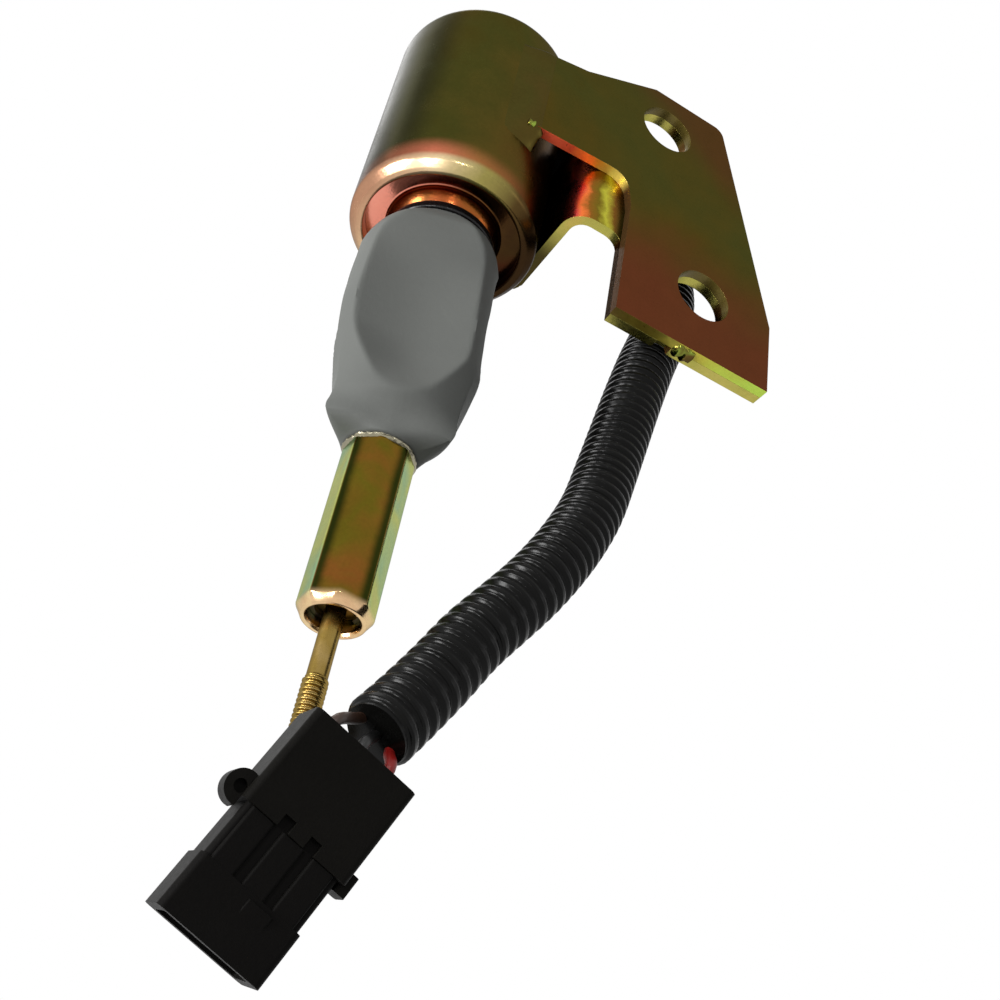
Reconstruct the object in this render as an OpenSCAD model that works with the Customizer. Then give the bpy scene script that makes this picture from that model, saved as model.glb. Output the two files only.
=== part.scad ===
// Fuel shutoff solenoid, pull type, with a two-layer flat bracket.
// Built about the plunger axis: z = 0 is the mouth of the shell and +z runs to
// its closed end. mount_shift then brings the middle of the two bracket holes,
// on the front face of the bracket, to the origin. Millimetres.

/* [Shell] */
// outside diameter of the shell
shell_dia = 44.5; // [38:0.5:54]
// length of the shell from mouth to closed end
shell_length = 64; // [55:1:90]
// wall of the drawn shell
shell_wall = 2; // [1.2:0.1:3]
// inside diameter of the rolled lip at the mouth
lip_dia = 37; // [34:0.5:40]
// radius of the edge at the closed end
end_radius = 3; // [1:0.5:5]

/* [Front plate and coils] */
// diameter of the neck that stands in the mouth
neck_dia = 27; // [22:0.5:30]
// diameter of the spigot that the boot grips
spigot_dia = 21; // [19:0.5:24]
// outside diameter of the guide tube
tube_dia = 15.2; // [12:0.1:18]
// running clearance of the plunger in the guide tube, on radius
tube_clear = 0.05; // [0.02:0.01:0.1]
// diameter of the finished hold winding
coil_dia = 39.2; // [34:0.1:40]
// diameter of the pull winding under it
inner_coil_dia = 28; // [22:0.5:34]

/* [Plunger and coupling] */
// diameter of the plunger
plunger_dia = 14; // [10:0.5:16]
// travel of the plunger
stroke = 25; // [15:1:26]
// diameter of the plunger stem inside the boot
stem_dia = 8; // [6:0.5:9]
// width across the flats of the eight-sided coupling
coupling_flats = 14; // [12:0.5:16]
// number of flats on the coupling
coupling_sides = 8; // [6:1:12]
// length of the flats
coupling_length = 40; // [30:1:45]
// bore of the coupling
coupling_bore = 10.2; // [9:0.1:11]

/* [Rod] */
// diameter of the plain rod
rod_dia = 4; // [3:0.1:5]
// diameter over the rod thread
thread_dia = 4.8; // [4:0.1:6]
// length of thread at the tip
thread_length = 21; // [15:1:30]
// distance of the rod tip below the mouth of the shell
rod_reach = 139; // [130:1:145]
// overtravel that the spring in the coupling allows
override = 4; // [2:0.5:6]

/* [Boot] */
// radius of the boot over its three ridges
boot_radius = 16.8; // [15:0.1:18]
// wall of the boot
boot_wall = 1.8; // [1.2:0.1:2.4]

/* [Bracket] */
// thickness of each of the two bracket layers
bracket_gauge = 2.5; // [2:0.1:3.2]
// diameter of the two bolt holes
bolt_hole = 14.5; // [10:0.5:16]
// height of the bracket above its lower edge
bracket_height = 84; // [70:1:95]
// distance of the free edge from the plunger axis
bracket_reach = 77; // [65:1:90]

/* [Conduit and connector] */
// outside diameter of the corrugated conduit
conduit_dia = 13.5; // [10:0.5:15]
// bore of the conduit
conduit_bore = 10; // [8:0.5:12]
// diameter of each wire
wire_dia = 2; // [1.6:0.1:2.6]
// width of the connector over its lock cover
connector_width = 20.8; // [18:0.2:24]
// thickness of the connector over its lock cover
connector_thick = 13; // [11:0.2:16]
// length of the connector
connector_length = 36.4; // [32:0.2:45]

/* [Hidden] */
$fn = 96;
eps = 0.01;
rs = shell_dia/2;
ri = rs - shell_wall;
face_y = -24.3;
mount_shift = [-50, -face_y, -26];
plate_z = 3.5;
plate_t = 5;
back_z = shell_length - 2.5;
pole_z = 38;
bobbin_z0 = plate_z + plate_t;
bobbin_z1 = back_z - 3.8;
coup_z = -66;
coup_end = coup_z - coupling_length;
bore_top = -76.5;
hole_a = [42.5, 52];
hole_b = [57.5, 0];
steel = [0.55, 0.5, 0.28];
black = [0.08, 0.08, 0.08];

// quarter-round and pill helpers
function arc(c, r, a0, a1, n) = [for (i = [0:n]) let (a = a0 + (a1 - a0)*i/n)
  [c[0] + r*cos(a), c[1] + r*sin(a)]];
module ring_prof(pts) rotate_extrude() polygon(pts);
module tube(ro, rin, z0, z1) translate([0, 0, z0]) difference() {
  cylinder(r = ro, h = z1 - z0);
  translate([0, 0, -eps]) cylinder(r = rin, h = z1 - z0 + 2*eps);
}

// shell

module shell() translate(mount_shift) color(steel) difference() {
  ring_prof(concat(
    [[lip_dia/2, 2.6]],
    arc([lip_dia/2 + 1.2, 1.2], 1.2, 180, 250, 4),
    arc([rs - 3, 3], 3, 290, 360, 6),
    arc([rs - end_radius, shell_length - end_radius], end_radius, 0, 90, 8),
    [[0, shell_length], [0, back_z], [ri - 1, back_z], [ri, back_z - 1],
      [ri, plate_z], [lip_dia/2, plate_z]]));
  outlet_at() cylinder(r = 6.2, h = 12, center = true);
}
outlet_turn = -5;
outlet_z = 49;
module outlet_at() rotate([0, 0, outlet_turn]) translate([rs - 1, 0, outlet_z])
  rotate([0, 90, 0]) children();

// front plate: disc, neck and spigot turned in one piece, with the plunger stop lip

module front_plate() translate(mount_shift) color(steel) ring_prof([
  [tube_dia/2, bobbin_z0], [ri - 0.05, bobbin_z0], [ri - 0.05, 7.1],
  [18.1, 7.1], [18.1, 4.9], [ri - 0.05, 4.9],
  [ri - 0.05, plate_z], [neck_dia/2 + 0.6, plate_z], [neck_dia/2, plate_z - 0.6], [neck_dia/2, -0.8],
  [neck_dia/2 - 0.4, -1.2], [spigot_dia/2, -1.2], [spigot_dia/2, -5.2], [spigot_dia/2 - 1, -5.6],
  [spigot_dia/2 - 1, -7.6], [spigot_dia/2, -8], [spigot_dia/2, -11.6], [spigot_dia/2 - 0.4, -12],
  [4.6, -12], [4.6, -10.5], [tube_dia/2, -10.5]]);

module front_seal() translate(mount_shift) color(black)
  rotate_extrude() translate([19.15, 6]) circle(r = 1, $fn = 32);

module guide_tube() translate(mount_shift) color([0.8, 0.65, 0.3])
  tube(tube_dia/2, plunger_dia/2 + tube_clear, -10.5, 40);

module rear_pole() translate(mount_shift) color([0.6, 0.6, 0.6]) ring_prof([
  [4.6, pole_z], [6.6, pole_z], [7, pole_z + 0.4], [7, 40], [tube_dia/2, 40], [tube_dia/2, back_z - 3],
  [ri - 1.2, back_z - 3], [ri - 1.2, back_z], [0, back_z], [0, pole_z + 2], [4.6, pole_z + 2]]);

module fibre_washer() translate(mount_shift) color([0.6, 0.3, 0.2])
  tube(ri - 1.4, tube_dia/2 + 0.1, back_z - 3.8, back_z - 3);

module bobbin() translate(mount_shift) color([0.9, 0.88, 0.8]) difference() {
  union() {
    tube(tube_dia/2 + 1.1, tube_dia/2 + 0.1, bobbin_z0, bobbin_z1);
    tube(ri - 0.25, tube_dia/2 + 0.1, bobbin_z0, bobbin_z0 + 1.5);
    tube(ri - 0.25, tube_dia/2 + 0.1, bobbin_z1 - 1.5, bobbin_z1);
  }
  rotate([0, 0, outlet_turn]) translate([15, -4, bobbin_z1 - 3]) cube([8, 8, 4]);
}

module pull_coil() translate(mount_shift) color([0.7, 0.35, 0.15])
  tube(inner_coil_dia/2, tube_dia/2 + 1.1, bobbin_z0 + 1.5, bobbin_z1 - 1.5);

module hold_coil() translate(mount_shift) color([0.65, 0.3, 0.12])
  difference() {
    tube(coil_dia/2, inner_coil_dia/2, bobbin_z0 + 1.5, bobbin_z1 - 1.5);
    outlet_at() cylinder(r = 6.6, h = 8, center = true);
  }

module boot_ring() translate(mount_shift) color(black) ring_prof([
  [spigot_dia/2, -1.2], [12.7, -1.2], [13, -1.5], [13, -3.1], [12.7, -3.4], [spigot_dia/2, -3.4]]);

// boot: lofted skin, round at the neck. Three hollow scooped panels cut it below and meet
// in ridges, which end in ears above a tapered foot. Tables give radii, or the crease's
// angle from the panel's middle, against the distance below the mouth.

ridge_at = [[3.4, 12.3], [4.5, 13.2], [6, 14.4], [8, 15.4], [12, 16.3], [30, 16.8], [44, 16.4], [50, 15.6],
  [54, 15], [57, 14.8], [60, 14.95], [62, 15.2], [63.2, 15], [64.2, 13.6], [65, 11.4], [66, 8]];
saddle_at = [[42, 17], [46, 15.6], [50, 14.1], [54, 13], [57.4, 12.2], [60, 10.4], [62, 9.1],
  [64, 8.4], [66, 8]];
scoop_at = [[3.4, 14], [5, 13.6], [8, 12.9], [12, 12], [15, 11.2], [20, 10.2], [25, 9.5], [33, 9],
  [41, 8.9], [46, 9.3], [50, 10.2], [54, 11.3], [57.4, 12.2]];
crease_at = [[3.4, 5], [5, 20], [8, 32], [12, 43], [16, 47.5], [24, 49], [34, 50.5], [40, 50], [44, 47],
  [47.6, 42], [51, 35.5], [54, 28], [56, 20], [57, 12.5], [57.6, 5]];
shift_at = [[3.4, 0], [8, -0.7], [14, -1], [30, -0.8], [38, -0.2], [46, 0.6], [54, 0.7], [60, 0.6],
  [63, 0.4], [66, 0]];
inner_at = [[3.4, 10.7], [9.5, 10.7], [58.6, 9.5], [60, 6.6], [66, 6.6]];
panel_at = -108;
panel_end = 57.6;
boot_steps = 60;
boot_z = [3.4, 4, 4.5, 5.2, 6, 7, 8, 10, 12, 15, 18, 22, 26, 30, 35, 40, 44, 47, 50, 52, 54, 56,
  57.5, 59, 60.5, 62, 63.2, 64.2, 65, 66];
inner_z = [3.4, 8.6, 9.5, 10.5, 14, 22, 30, 40, 46, 50, 56, 58.6, 60, 66];
function panel(a) = abs(((a - panel_at + 60) % 120 + 120) % 120 - 60);
function soft_min(a, b, k) = let (h = max(k - abs(a - b), 0)/k) min(a, b) - h*h*k/4;
function boot_out(a, z) = let (t = panel(a), r = boot_radius/16.8*lookup(z, ridge_at),
  s = min(r, lookup(z, saddle_at)), body = s + (r - s)*pow(t/60, 2.3),
  e = lookup(z, crease_at), d1 = (s + (r - s)*pow(e/60, 2.3))*cos(e),
  d0 = min(boot_radius/16.8*lookup(z, scoop_at), d1 - 0.02),
  cut = (d0 + (d1 - d0)*pow(tan(t)/tan(e), 2))/cos(t))
  z > panel_end ? body : soft_min(body, cut, 0.5);
function boot_in(a, z) = z > 10 && z < 58 ? boot_out(a, z) - boot_wall : lookup(z, inner_at);
function boot_ringpts(z, out) = [for (i = [0:boot_steps - 1]) let (a = i*360/boot_steps,
  r = out ? boot_out(a, z) : boot_in(a, z), dx = out || z > 11 && z < 58 ? lookup(z, shift_at) : 0)
  [r*cos(a) + dx, r*sin(a), -z]];
module boot() translate(mount_shift) color([0.43, 0.45, 0.44]) {
  rings = concat([for (z = boot_z) boot_ringpts(z, true)],
    [for (i = [len(inner_z) - 1:-1:0]) boot_ringpts(inner_z[i], false)]);
  loop_skin(rings);
}
// closed skin over rings joined end to end, for a hollow shape
module loop_skin(rings) {
  n = len(rings[0]);
  m = len(rings);
  pts = [for (r = rings) for (p = r) p];
  faces = [for (j = [0:m - 1]) for (i = [0:n - 1]) let (a = j*n + i, b = j*n + (i + 1)%n,
    c = ((j + 1)%m)*n + (i + 1)%n, d = ((j + 1)%m)*n + i) each [[a, b, c], [a, c, d]]];
  polyhedron(points = pts, faces = faces, convexity = 6);
}

// bracket: front plate tangent to the shell, rear strap against its back

module outline_plate(x0) polygon(concat(
  [[x0, 24], [28.4, 25.4]], arc([29, 20], 5.4, 78, 8, 5), [[35.2, 16], [35.2, -19]],
  [[bracket_reach, -19], [bracket_reach, 2]],
  arc([56.4, 62], 3.2, 12, 84, 5), arc([38.2, 63.6], 1.6, 95, 120, 2), [[18, 55.4], [x0, 53]]));
module bolt_holes(h) for (p = [hole_a, hole_b]) translate([p[0], 0, p[1]])
  rotate([90, 0, 0]) cylinder(d = bolt_hole, h = h, center = true, $fn = 64);
module up_plate(y0, t) translate([0, y0 + t, 0]) rotate([90, 0, 0]) linear_extrude(height = t) children();

module bracket_plate() translate(mount_shift) color(steel) difference() {
  union() {
    up_plate(face_y, bracket_gauge) outline_plate(8);
    translate([0, 0, 24.2]) linear_extrude(height = 29)
      polygon([[2.6, -22.9], [4.2, -23.5], [8.1, face_y + 0.25], [8.1, -21.8],
        [10.2, -21.8], [10.2, -19], [2.6, -19]]);
  }
  bolt_holes(120);
  cylinder(r = rs, h = 200, center = true);
}

strap_z0 = 7.5;
strap_y0 = face_y + bracket_gauge;
module outline_strap() difference() {
  union() {
    polygon(concat([[28.2, strap_z0]], arc([31.8, 3.9], 3.6, 90, 10, 5),
      [[35.4, 2], [35.4, -19], [48, -19], [48.6, -17.2], [51.4, -17.2], [52, -19], [bracket_reach, -19],
      [bracket_reach, 2]], arc([56.4, 62], 3.2, 12, 84, 5), arc([38.2, 63.6], 1.6, 95, 120, 2),
      [[34.5, 60], [34.5, 39], [33, 37.6], [28.2, 37.6]]));
  }
}
module bracket_strap() translate(mount_shift) color(steel) difference() {
  union() {
    up_plate(strap_y0, bracket_gauge) outline_strap();
    translate([0, 0, strap_z0]) linear_extrude(height = 37.6 - strap_z0) polygon(concat(
      [[28.3, strap_y0], [28.3, strap_y0 + bracket_gauge]],
      arc([28.2, strap_y0 + 6], 3.5, 270, 180, 6), [[24.7, 6], [24.2, 7]],
      [[20, 7], [22.2, 3]], arc([28.2, strap_y0 + 6], 6, 180, 270, 9)));
    translate([0, 0, strap_z0]) linear_extrude(height = 37.6 - strap_z0)
      polygon([[18, 6.9], [24.4, 6.9], [23.8, 8.2], [22.6, 9.2], [18, 9.2]]);
  }
  bolt_holes(120);
  cylinder(r = rs, h = 200, center = true);
}

// plunger with its return spring, and the coupling that holds the rod

module plunger() translate(mount_shift) color([0.62, 0.62, 0.62]) ring_prof([
  [4.6, 12], [6.4, 12], [plunger_dia/2, 11.4], [plunger_dia/2, -9.7], [6.4, -10.3], [stem_dia/2 + 0.3, -10.3],
  [stem_dia/2, -10.6], [stem_dia/2, -59], [3, -59], [3, -72], [2.4, -72.6], [0, -72.6], [0, -7], [4.6, -7]]);

spring_pts = 16;
function helix(r, z0, z1, n, w) = let (m = n*spring_pts, c = 0.9) [for (i = [0:m]) let (t = i/m,
  u = t < c/n ? 0 : t > 1 - c/n ? 1 : (t - c/n)/(1 - 2*c/n), dead = 2*w*c,
  z = z0 + (t < c/n ? w*n*t : t > 1 - c/n ? z1 - z0 - w*n*(1 - t) : w*c + (z1 - z0 - dead)*u))
  [r*cos(360*n*t), r*sin(360*n*t), z]];
module wire_sweep(path, r, sides) {
  n = len(path);
  rings = [for (i = [0:n - 1]) let (p = path[i], a = atan2(p[1], p[0]))
    [for (k = [0:sides - 1]) let (b = 360*k/sides)
      [p[0] + r*cos(b)*cos(a), p[1] + r*cos(b)*sin(a), p[2] + r*sin(b)]]];
  capped_skin(rings);
}
module capped_skin(rings) {
  n = len(rings[0]);
  m = len(rings);
  pts = [for (r = rings) for (p = r) p];
  faces = concat([[for (i = [0:n - 1]) i]], [[for (i = [n - 1:-1:0]) (m - 1)*n + i]],
    [for (j = [0:m - 2]) for (i = [0:n - 1]) let (a = j*n + i, b = j*n + (i + 1)%n, c = b + n, d = a + n)
      each [[a, d, c], [a, c, b]]]);
  polyhedron(points = pts, faces = faces, convexity = 10);
}
module return_spring() translate(mount_shift) color([0.7, 0.7, 0.72])
  wire_sweep(helix(3.8, -6.5, pole_z + 1.5, 13, 1), 0.45, 8);

module octagon(h) rotate([0, 0, -108])
  cylinder(d = coupling_flats/cos(180/coupling_sides), h = h, $fn = coupling_sides);
module coupling() translate(mount_shift) color(steel) difference() {
  union() {
    intersection() {
      translate([0, 0, coup_end]) octagon(coupling_length - 0.5);
      ring_prof([[0, coup_z - 0.5], [7.2, coup_z - 0.5], [7.55, coup_z - 1.2], [7.55, coup_end + 1.2],
        [6.9, coup_end + 0.25], [6.5, coup_end], [0, coup_end]]);
    }
    ring_prof([[0, -60], [6.1, -60], [6.5, -60.4], [6.5, coup_z - 0.3], [7.9, coup_z - 0.3],
      [7.9, coup_z - 1.4], [7.3, coup_z - 1.9], [0, coup_z - 1.9]]);
  }
  translate([0, 0, -72.9]) cylinder(r = 3.02, h = 20);
  translate([0, 0, coup_end - 1]) cylinder(d = coupling_bore, h = bore_top - coup_end + 1);
  translate([0, 0, coup_end + 2.4]) cylinder(d = coupling_bore + 1, h = 1.2);
  translate([0, 0, coup_end - eps]) cylinder(d1 = coupling_bore + 1.4, d2 = coupling_bore, h = 0.7);
}
module override_spring() translate(mount_shift) color([0.7, 0.7, 0.72])
  wire_sweep(helix(3.85, coup_end + 5.3, bore_top - 3.6, 6, 1.1), 0.5, 8);
module spring_washer() translate(mount_shift) color(steel)
  tube(4.9, rod_dia/2 + 0.15, coup_end + 3.6, coup_end + 4.6);
module snap_ring() translate(mount_shift) color([0.3, 0.3, 0.3]) difference() {
  tube(coupling_bore/2 + 0.45, 4.1, coup_end + 2.5, coup_end + 3.5);
  rotate([0, 0, 40]) translate([0, -1.6, coup_end + 2]) cube([8, 3.2, 2]);
}
module rod() translate(mount_shift) color(steel) ring_prof([
  [0, bore_top - 0.3], [4.7, bore_top - 0.3], [4.9, bore_top - 0.5], [4.9, bore_top - 2.7],
  [4.7, bore_top - 2.9],
  [rod_dia/2, bore_top - 2.9], [rod_dia/2, thread_length - rod_reach],
  [thread_dia/2, thread_length - rod_reach - 0.3],
  [thread_dia/2, -(rod_reach - 0.8)], [thread_dia/2 - 0.7, -rod_reach], [0, -rod_reach]]);

// conduit and wires: swept along a route that hangs from the outlet

route = [[50.2, -2.4, 43.8], [52.9, -2.7, 40.2], [55.2, -3.1, 35.6], [57.1, -3.7, 30.4], [58.4, -4.5, 24.7],
  [59, -5.5, 18.6], [58.9, -6.6, 12.1], [58, -7.6, 5.4], [56.5, -8.5, -1.4], [54.6, -9.3, -8.4],
  [52.7, -10, -15.6], [51, -10.5, -23.2], [49.4, -10.6, -31.7], [47.8, -10.7, -40.8], [46, -10.8, -51],
  [43.6, -11.2, -63], [40.4, -11.6, -72.6], [36.4, -11.8, -81.7], [32, -11.9, -90], [27.2, -11.8, -97.8],
  [22.4, -11.8, -105.6], [17.6, -12, -115], [12.6, -12.6, -124], [8.4, -13.6, -131]];
function cr(p, i, t) = let (a = p[max(i - 1, 0)], b = p[i], c = p[i + 1], d = p[min(i + 2, len(p) - 1)])
  0.5*(2*b + (c - a)*t + (2*a - 5*b + 4*c - d)*t*t + (3*b - a - 3*c + d)*t*t*t);
function fine(p, n) = concat([for (i = [0:len(p) - 2]) for (k = [0:n - 1]) cr(p, i, k/n)], [p[len(p) - 1]]);
function unit(v) = v/norm(v);
function heading(p, i) = unit(p[min(i + 1, len(p) - 1)] - p[max(i - 1, 0)]);
// frames carried along the path without twist
function carry(p, i, u) = let (h = heading(p, i), v = unit(u - h*(u*h)))
  i == len(p) - 1 ? [v] : concat([v], carry(p, i + 1, v));
function hose_rings(p, r, sides, off, at) = let (us = carry(p, 0, [0, 1, 0.05])) [for (i = [0:len(p) - 1])
  let (h = heading(p, i), u = us[i], w = cross(h, u), c = p[i] + off*(u*cos(at) + w*sin(at)))
  [for (k = [0:sides - 1]) let (b = 360*k/sides) c + r*(u*cos(b) + w*sin(b))]];
function back(v) = [for (i = [len(v) - 1:-1:0]) v[i]];
hose = fine(route, 2);
module conduit() translate(mount_shift) color(black)
  loop_skin(concat(hose_rings(hose, conduit_dia/2, 12, 0, 0),
    back(hose_rings(hose, conduit_bore/2, 12, 0, 0))));

conn_at = [5.3, -15.2, -136.3];
conn_turn = [-162.6, 20.1, 4];
pitch = 6;
// turn a point of the connector's own frame into the axis frame
function turned(p) = let (a = conn_turn[0], b = conn_turn[1], c = conn_turn[2],
  q = [p[0], p[1]*cos(a) - p[2]*sin(a), p[1]*sin(a) + p[2]*cos(a)],
  r = [q[0]*cos(b) + q[2]*sin(b), q[1], q[2]*cos(b) - q[0]*sin(b)])
  [r[0]*cos(c) - r[1]*sin(c), r[0]*sin(c) + r[1]*cos(c), r[2]] + conn_at;
// the elbow turns the lead down behind the bracket
bend = [[22, -1.9, 49], [26, -2.1, 49], [31, -2.2, 49.2], [36, -2.2, 49.3], [40.5, -2.2, 49],
  [44.6, -2.2, 47.8], [48.2, -2.3, 45.7], [51, -2.5, 42.9], [52.6, -2.7, 40.6]];
bend_wire = [[17.4, -1.5, 49], [22, -1.9, 49], [28, -2.1, 49.1], [34, -2.2, 49.3], [40.5, -2.2, 49],
  [44.6, -2.2, 47.8], [47.8, -2.3, 46]];
// the wires leave the winding, pass the elbow and then follow the conduit
lead = concat([for (i = [0:6]) bend_wire[i]], hose);
lead_us = carry(lead, 0, [0, 1, 0.05]);
lead_end = len(lead) - 1;
fan = turned([1, 0, 0]) - conn_at;
fan_turn = atan2(fan*cross(heading(lead, lead_end), lead_us[lead_end]), fan*lead_us[lead_end]);
function wire_path(s) = concat([for (i = [0:lead_end])
  let (h = heading(lead, i), u = lead_us[i], w = cross(h, u),
  o = 2.3 + 1.3*max(0, (i - lead_end + 5)/5)) lead[i] + s*o*(u*cos(fan_turn) + w*sin(fan_turn))],
  [turned([s*pitch*0.93, 0, -2.6]), turned([s*pitch, 0, -0.8]), turned([s*pitch, 0, 1.2]),
    turned([s*pitch, 0, 4.6])]);
module wire(s) translate(mount_shift) capped_skin(hose_rings(wire_path(s), wire_dia/2, 8, 0, 0));
module wire_red() color([0.6, 0.08, 0.06]) wire(1);
module wire_black() color(black) wire(0);
module wire_brown() color([0.16, 0.09, 0.06]) wire(-1);

// elbow: stub through the shell wall, flange on the shell, then a moulded bend
module outlet_elbow() translate(mount_shift) color(black) {
  difference() {
    union() {
      outlet_at() translate([0, 0, -1.4]) cylinder(r = 6.1, h = 6);
      difference() {
        outlet_at() translate([0, 0, -2]) cylinder(r = 9, h = 6.5);
        translate([0, 0, outlet_z - 15]) cylinder(r = rs, h = 30);
      }
      capped_skin(hose_rings(fine(bend, 2), 8.2, 24, 0, 0));
    }
    capped_skin(hose_rings(fine(concat([[17.4, -1.5, 49]], bend, [[55.2, -3.1, 35.6]]), 2), 4.9, 12, 0, 0));
    capped_skin(hose_rings(fine([route[0] - [0.06, 0, -0.08], route[1], route[2]], 3),
      conduit_dia/2 + 0.1, 24, 0, 0));
    translate([0, 0, outlet_z - 15]) cylinder(r = ri - 0.3, h = 30);
  }
}

// connector, in its own frame: z from the wire end to the mating end, y to the face seen

module conn() translate(mount_shift) translate(conn_at) rotate(conn_turn) children();
module rbox(w, t, z0, z1, r) translate([0, 0, z0]) linear_extrude(height = z1 - z0) rsq(w, t, r);
module rsq(w, t, r) polygon(concat(
  arc([w/2 - r, t/2 - r], r, 0, 90, 5), arc([r - w/2, t/2 - r], r, 90, 180, 5),
  arc([r - w/2, r - t/2], r, 180, 270, 5), arc([w/2 - r, r - t/2], r, 270, 360, 5)));
cw = connector_width - 2.2;
ct = connector_thick - 2.4;
module connector_body() conn() color(black) difference() {
  union() {
    rbox(cw, ct, 0.8, connector_length - 9, 1);
    rbox(connector_width - 1.2, ct + 1.4, connector_length - 9.4, connector_length, 1.2);
    for (i = [-1:1]) translate([i*pitch, ct/2 - 0.3, 0])
      rbox(pitch - 1.6, 1.9, 17.6, connector_length - 9.2, 0.5);
    translate([2.4, ct/2 + 0.6, connector_length - 8.6]) rotate([8, 0, 0]) rbox(4.6, 1, 0, 4, 0.3);
  }
  rbox(cw - 2.6, ct - 2.4, connector_length - 13, connector_length + 1, 0.8);
  for (i = [-1:1]) translate([i*pitch, 0, -1]) cylinder(r = 2.2, h = 7, $fn = 32);
  for (i = [-1:1]) translate([i*pitch, 0, 5]) cylinder(r = 1.3, h = 20, $fn = 24);
}
module connector_lock() conn() color([0.1, 0.1, 0.1]) {
  difference() {
    rbox(connector_width, connector_thick, 0, 17.5, 1.2);
    rbox(cw + 0.1, ct + 0.1, 0.8, 18.5, 1);
    rbox(cw - 2, ct - 3, -1, 2, 1);
    for (s = [-1, 1]) translate([s*2.6, connector_thick/2, 17]) rbox(2.2, 4, -1.6, 2, 0.4);
  }
  translate([-connector_width/2 - 0.6, 2.4, 13.4]) difference() {
    rotate([90, 0, 0]) translate([0, 3, -2.2]) cylinder(r = 2.9, h = 4.4, $fn = 40);
    translate([0.65, -6, -4]) cube([8, 12, 16]);
    rotate([90, 0, 0]) translate([-0.4, 3, -5]) cylinder(r = 1.1, h = 4.2, $fn = 24);
  }
  translate([connector_width/2 + 0.35, 1.6, 16.4]) rbox(2.5, 5, -1.4, 2.4, 0.6);
}
module wire_seals() conn() color([0.5, 0.12, 0.08]) for (i = [-1:1]) translate([i*pitch, 0, 1])
  difference() {
    cylinder(r = 2.15, h = 4, $fn = 32);
    translate([0, 0, -1]) cylinder(r = 1.02, h = 6, $fn = 24);
  }
module terminal_pins() conn() color([0.75, 0.75, 0.72]) for (i = [-1:1]) translate([i*pitch, 0, 0]) {
  translate([0, 0, 5.2]) cylinder(r = 1.25, h = 19, $fn = 24);
  translate([-0.75, -0.4, 24]) cube([1.5, 0.8, 9.5]);
}
module front_lock() conn() color([0.1, 0.1, 0.1]) difference() {
  rbox(cw - 2.8, ct - 2.6, connector_length - 13, connector_length - 11.2, 0.7);
  for (i = [-1:1]) translate([i*pitch, 0, connector_length - 14]) cylinder(r = 1.35, h = 4, $fn = 24);
}

shell();
front_plate();
front_seal();
guide_tube();
rear_pole();
fibre_washer();
bobbin();
pull_coil();
hold_coil();
boot_ring();
boot();
bracket_plate();
bracket_strap();
outlet_elbow();
plunger();
return_spring();
coupling();
override_spring();
spring_washer();
snap_ring();
rod();
conduit();
wire_red();
wire_black();
wire_brown();
wire_seals();
connector_body();
connector_lock();
terminal_pins();
front_lock();
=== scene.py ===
# Fuel shutoff solenoid, pull type, hanging on its two-layer bracket.
# Lengths are millimetres from the plunger's axis, with z = 0 at the mouth of the can.
import bpy
import bmesh
import math
from mathutils import Matrix, Vector, noise


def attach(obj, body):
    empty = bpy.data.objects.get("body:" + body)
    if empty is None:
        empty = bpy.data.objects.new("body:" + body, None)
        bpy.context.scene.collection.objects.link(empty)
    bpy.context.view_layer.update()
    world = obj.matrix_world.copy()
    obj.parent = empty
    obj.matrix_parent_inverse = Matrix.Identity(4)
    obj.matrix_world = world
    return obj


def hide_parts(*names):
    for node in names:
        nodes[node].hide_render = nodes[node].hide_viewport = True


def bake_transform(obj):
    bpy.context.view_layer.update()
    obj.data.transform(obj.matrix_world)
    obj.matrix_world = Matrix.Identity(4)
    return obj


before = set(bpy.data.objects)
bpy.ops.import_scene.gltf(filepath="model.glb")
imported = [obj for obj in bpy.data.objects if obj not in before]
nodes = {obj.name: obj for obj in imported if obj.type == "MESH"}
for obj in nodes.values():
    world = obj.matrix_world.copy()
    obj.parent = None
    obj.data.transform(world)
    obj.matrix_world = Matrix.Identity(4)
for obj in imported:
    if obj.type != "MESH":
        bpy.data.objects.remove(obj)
bpy.context.scene.view_settings.view_transform = "Standard"
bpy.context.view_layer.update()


origin = (50, -24.3, 26)  # the frame's zero
axis = (-0.05, 0.0243)  # the plunger's axis in the frame, in metres
mouth = -0.026  # height of the can's mouth in the frame
barEnd = -0.132  # height of the coupling's end in the frame


def place(p):
    return Vector([(a - b) / 1000 for a, b in zip(p, origin)])


# camera, lamps, world and floor

view = {"spot": (-0.105589, -0.1696, -0.25235), "lens": 46.0,
        "right": (0.85314, -0.49790, 0.15573), "up": (-0.41832, -0.47454, 0.77448),
        "ahead": (0.31172, 0.72588, 0.61313)}
lamps = [
    {"name": "keyLamp", "spot": (-0.62, -0.06, -0.17), "aim": (0, 0, -0.06), "size": 0.2, "power": 3.8},
    {"name": "flashLeft", "spot": (-0.30, -0.19, -0.16), "aim": (-0.05, 0, -0.05), "size": 0.06,
     "power": 0.34},
    {"name": "flashRight", "spot": (-0.15, -0.33, -0.13), "aim": (0, 0, -0.03), "size": 0.016, "power": 0.10},
    {"name": "rightPanel", "spot": (0.62, -0.50, 0.0), "aim": (0, 0, -0.05), "size": 0.3, "power": 0.25},
    {"name": "topPanel", "spot": (-0.25, 0.25, 0.75), "aim": (0, 0, -0.05), "size": 0.5, "power": 1.5},
]
room = {"ambient": 0.18, "floorHeight": -1.0, "floorSize": 5.0, "floorGlow": 0.84}


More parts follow.
